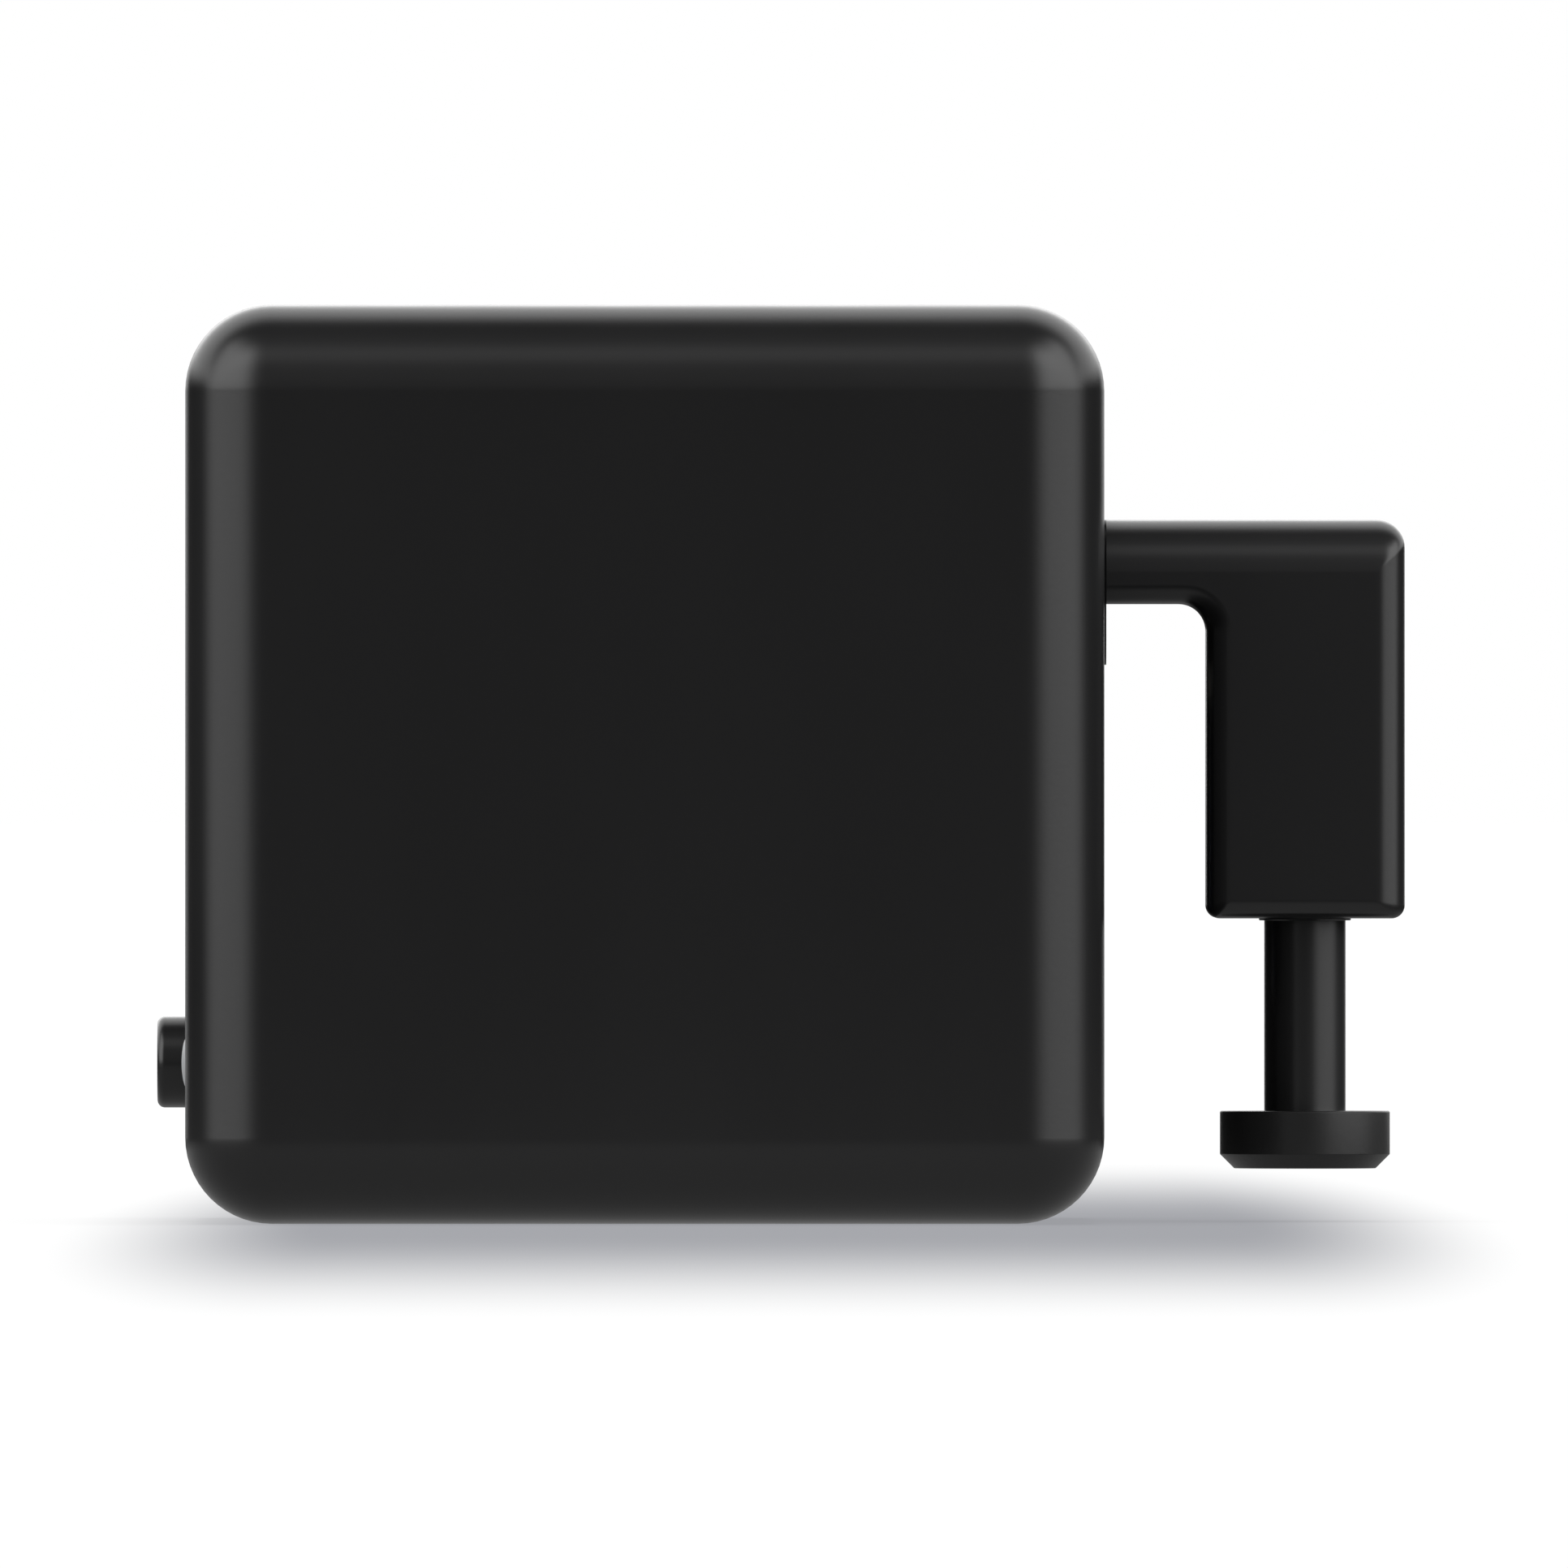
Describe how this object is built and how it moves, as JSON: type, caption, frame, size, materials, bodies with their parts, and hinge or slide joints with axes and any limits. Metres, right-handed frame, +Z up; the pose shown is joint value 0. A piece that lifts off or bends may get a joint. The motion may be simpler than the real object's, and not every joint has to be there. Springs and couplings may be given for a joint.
{
  "type": "smart button pusher",
  "caption": "Small black battery cube with a motor-driven arm on one side that travels down and presses a wall switch through an adjustable rod and foot.",
  "frame": {"origin": "centre of the cube's flat underside, the face that it is stuck down by", "axes": "+X to the side that the arm is on, -Y to the front, +Z up, away from the mounting face"},
  "size_m": [0.0464, 0.034, 0.034],
  "materials": {
    "housing_black": "satin moulded black plastic with a very fine grain",
    "arm_black": "satin moulded black plastic",
    "button_black": "satin black plastic",
    "rod_black": "smooth black plastic rod",
    "foot_black": "firm black rubber, matt",
    "collar_black": "smooth black collar",
    "hub_black": "smooth black plastic",
    "frosted_lens": "frosted pale polycarbonate",
    "chassis_grey": "dark grey glass-filled plastic",
    "acetal_white": "off-white acetal, slightly waxy",
    "pinion_brass": "turned brass",
    "polished_steel": "ground and polished steel pin",
    "can_steel": "drawn steel can",
    "shield_steel": "tinned shield can",
    "can_aluminium": "bright aluminium can",
    "end_cap_black": "black nylon end cap",
    "contact_nickel": "nickel-plated spring strip",
    "screw_steel": "zinc-plated steel",
    "board_green": "green solder mask",
    "chip_black": "black moulding compound",
    "core_grey": "rolled electrodes",
    "battery_wrap_blue": "plain shrink wrap"
  },
  "bodies": {
    "housing": {"front_shell": "housing_black", "light_pipe": "frosted_lens", "chassis": "chassis_grey", "gear_plate": "chassis_grey", "gear_plate_screws": "screw_steel", "chassis_screws": "screw_steel", "board_screws": "screw_steel", "guide_rods": "polished_steel", "gear_axles": "polished_steel", "motor_can": "can_steel", "motor_end_cap": "end_cap_black", "motor_terminals": "contact_nickel", "main_board": "board_green", "radio_module": "shield_steel", "controller_chip": "chip_black", "motor_driver_chip": "chip_black", "capacitors": "can_aluminium", "status_lamp": "frosted_lens", "button_switch": "chip_black", "battery_can": "can_steel", "battery_cap": "contact_nickel", "battery_wrap": "battery_wrap_blue", "battery_core": "core_grey", "battery_seal": "end_cap_black", "positive_contact": "contact_nickel", "negative_contact": "contact_nickel"},
    "cover": {"back_cover": "housing_black"},
    "carriage": {"rack_carriage": "acetal_white", "carriage_hub": "hub_black"},
    "arm": {"push_arm": "arm_black", "rod_sleeve": "collar_black"},
    "pusher": {"push_rod": "rod_black", "push_foot": "foot_black"},
    "button": {"side_button": "button_black", "switch_plunger": "acetal_white"},
    "motor_rotor": {"motor_shaft": "polished_steel", "motor_pinion": "pinion_brass"},
    "first_gear_set": {"first_gear": "acetal_white"},
    "second_gear_set": {"second_gear": "acetal_white"},
    "output_gear_set": {"output_gear": "acetal_white"}
  },
  "joints": [
    {"name": "carriage_travel", "type": "slide", "parent": "housing", "child": "carriage", "axis": [0, 0, -1], "range_m": [0, 0.012]},
    {"name": "arm_pull_off", "type": "slide", "parent": "carriage", "child": "arm", "axis": [1, 0, 0], "range_m": [0, 0.005]},
    {"name": "rod_height", "type": "slide", "parent": "arm", "child": "pusher", "axis": [0, 0, -1], "range_m": [-0.002, 0.006]},
    {"name": "button_press", "type": "slide", "parent": "housing", "child": "button", "axis": [1, 0, 0], "range_m": [0, 0.0003], "stiffness_N_per_m": 1500},
    {"name": "cover_lift_off", "type": "slide", "parent": "housing", "child": "cover", "axis": [0, 1, 0], "range_m": [0, 0.02]},
    {"name": "output_gear_turn", "type": "hinge", "parent": "housing", "child": "output_gear_set", "pos_m": [0.0055, 0, 0.017], "axis": [0, 1, 0], "range_deg": [0, 200]},
    {"name": "second_gear_turn", "type": "hinge", "parent": "housing", "child": "second_gear_set", "pos_m": [-0.00177, 0, 0.0212], "axis": [0, -1, 0], "range_deg": [0, 500]},
    {"name": "first_gear_turn", "type": "hinge", "parent": "housing", "child": "first_gear_set", "pos_m": [-0.00545, 0, 0.01483], "axis": [0, 1, 0], "range_deg": [0, 1580]},
    {"name": "motor_turn", "type": "hinge", "parent": "housing", "child": "motor_rotor", "pos_m": [-0.00545, 0, 0.00793], "axis": [0, -1, 0], "range_deg": [0, 5700]}
  ],
  "couplings": [
    {"joint": "output_gear_turn", "follows": "carriage_travel", "rad_per_m": 285.71},
    {"joint": "second_gear_turn", "follows": "carriage_travel", "rad_per_m": 714.29},
    {"joint": "first_gear_turn", "follows": "carriage_travel", "rad_per_m": 2285.7},
    {"joint": "motor_turn", "follows": "carriage_travel", "rad_per_m": 8228.6}
  ]
}
